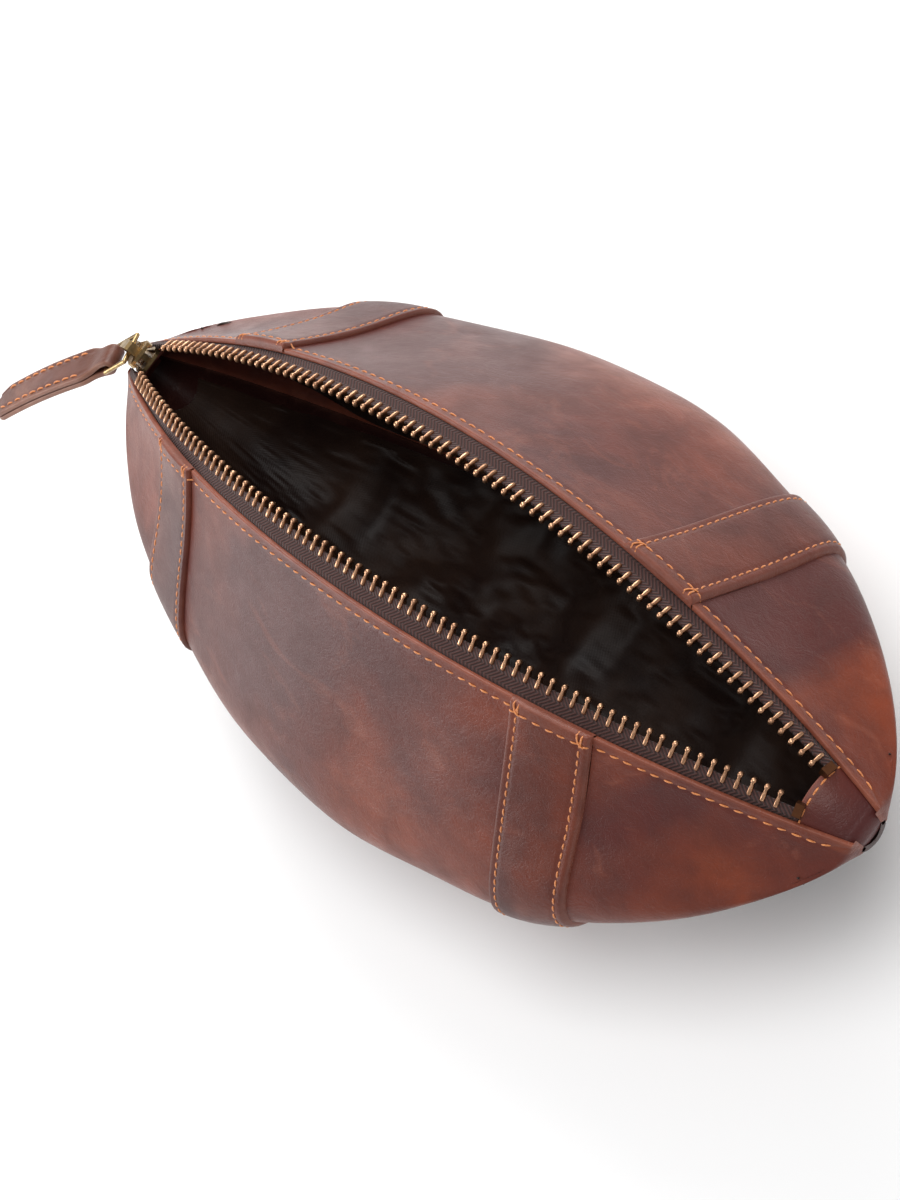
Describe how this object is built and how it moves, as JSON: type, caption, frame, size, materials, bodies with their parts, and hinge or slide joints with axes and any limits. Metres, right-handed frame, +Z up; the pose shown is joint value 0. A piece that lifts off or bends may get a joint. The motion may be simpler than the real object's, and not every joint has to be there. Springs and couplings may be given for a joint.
{
  "type": "leather wash bag",
  "caption": "Rugby-ball-shaped leather wash bag with a zip along the top, standing open, with a slider, wire link and leather puller.",
  "frame": {"origin": "middle of the flat underside of the base panel, on the ground", "axes": "+X along the bag from the slider end to the closed end of the zip, -Y the front panel's side, +Z up"},
  "size_m": [0.3401, 0.1518, 0.1035],
  "materials": {
    "panel_leather": "waxed, worn",
    "band_leather": "waxed, worn",
    "base_leather": "waxed",
    "tab_leather": "waxed, worn",
    "puller_leather": "waxed, worn",
    "lining": "coated, slightly shiny",
    "zip_tape": "herringbone weave",
    "zip_metal": "antique copper",
    "slider_metal": "antique brass",
    "thread": "waxed orange thread"
  },
  "bodies": {
    "bag": {"front_panel": "panel_leather", "back_panel": "panel_leather", "base_panel": "base_leather", "front_left_band": "band_leather", "front_right_band": "band_leather", "back_left_band": "band_leather", "back_right_band": "band_leather", "left_end_tab": "tab_leather", "right_end_tab": "tab_leather", "front_lining": "lining", "back_lining": "lining", "base_lining": "lining", "bottom_stop": "zip_metal"},
    "front_mouth": {"front_zip_tape": "zip_tape", "front_zip_teeth": "zip_metal", "front_top_stop": "zip_metal"},
    "back_mouth": {"back_zip_tape": "zip_tape", "back_zip_teeth": "zip_metal", "back_top_stop": "zip_metal"},
    "slider": {"slider_body": "slider_metal", "slider_bridge": "slider_metal"},
    "link": {"pull_link": "slider_metal"},
    "puller": {"puller_strap": "puller_leather"}
  },
  "joints": [
    {"name": "slider_travel", "type": "hinge", "parent": "bag", "child": "slider", "pos_m": [-0.001, 0, -0.20382], "axis": [0, 1, 0], "range_deg": [0, 50]},
    {"name": "front_mouth_close", "type": "hinge", "parent": "bag", "child": "front_mouth", "pos_m": [-0.001, -0.0015, 0.068], "axis": [-1, 0, 0], "range_deg": [0, 28.6], "deforming": ["front_zip_tape", "front_zip_teeth"]},
    {"name": "back_mouth_close", "type": "hinge", "parent": "bag", "child": "back_mouth", "pos_m": [-0.001, 0.0015, 0.068], "axis": [1, 0, 0], "range_deg": [0, 28.6], "deforming": ["back_zip_tape", "back_zip_teeth"]},
    {"name": "link_swing", "type": "hinge", "parent": "slider", "child": "link", "pos_m": [-0.14124, 0, 0.07681], "axis": [-0.4872, 0.8387, -0.2435], "range_deg": [0, 120]},
    {"name": "puller_swing", "type": "hinge", "parent": "link", "child": "puller", "pos_m": [-0.14874, -0.00545, 0.07306], "axis": [-0.4872, 0.8387, -0.2435], "range_deg": [-10, 27]}
  ],
  "couplings": [
    {"joint": "front_mouth_close", "follows": "slider_travel", "ratio": 0.57},
    {"joint": "back_mouth_close", "follows": "slider_travel", "ratio": 0.57}
  ]
}
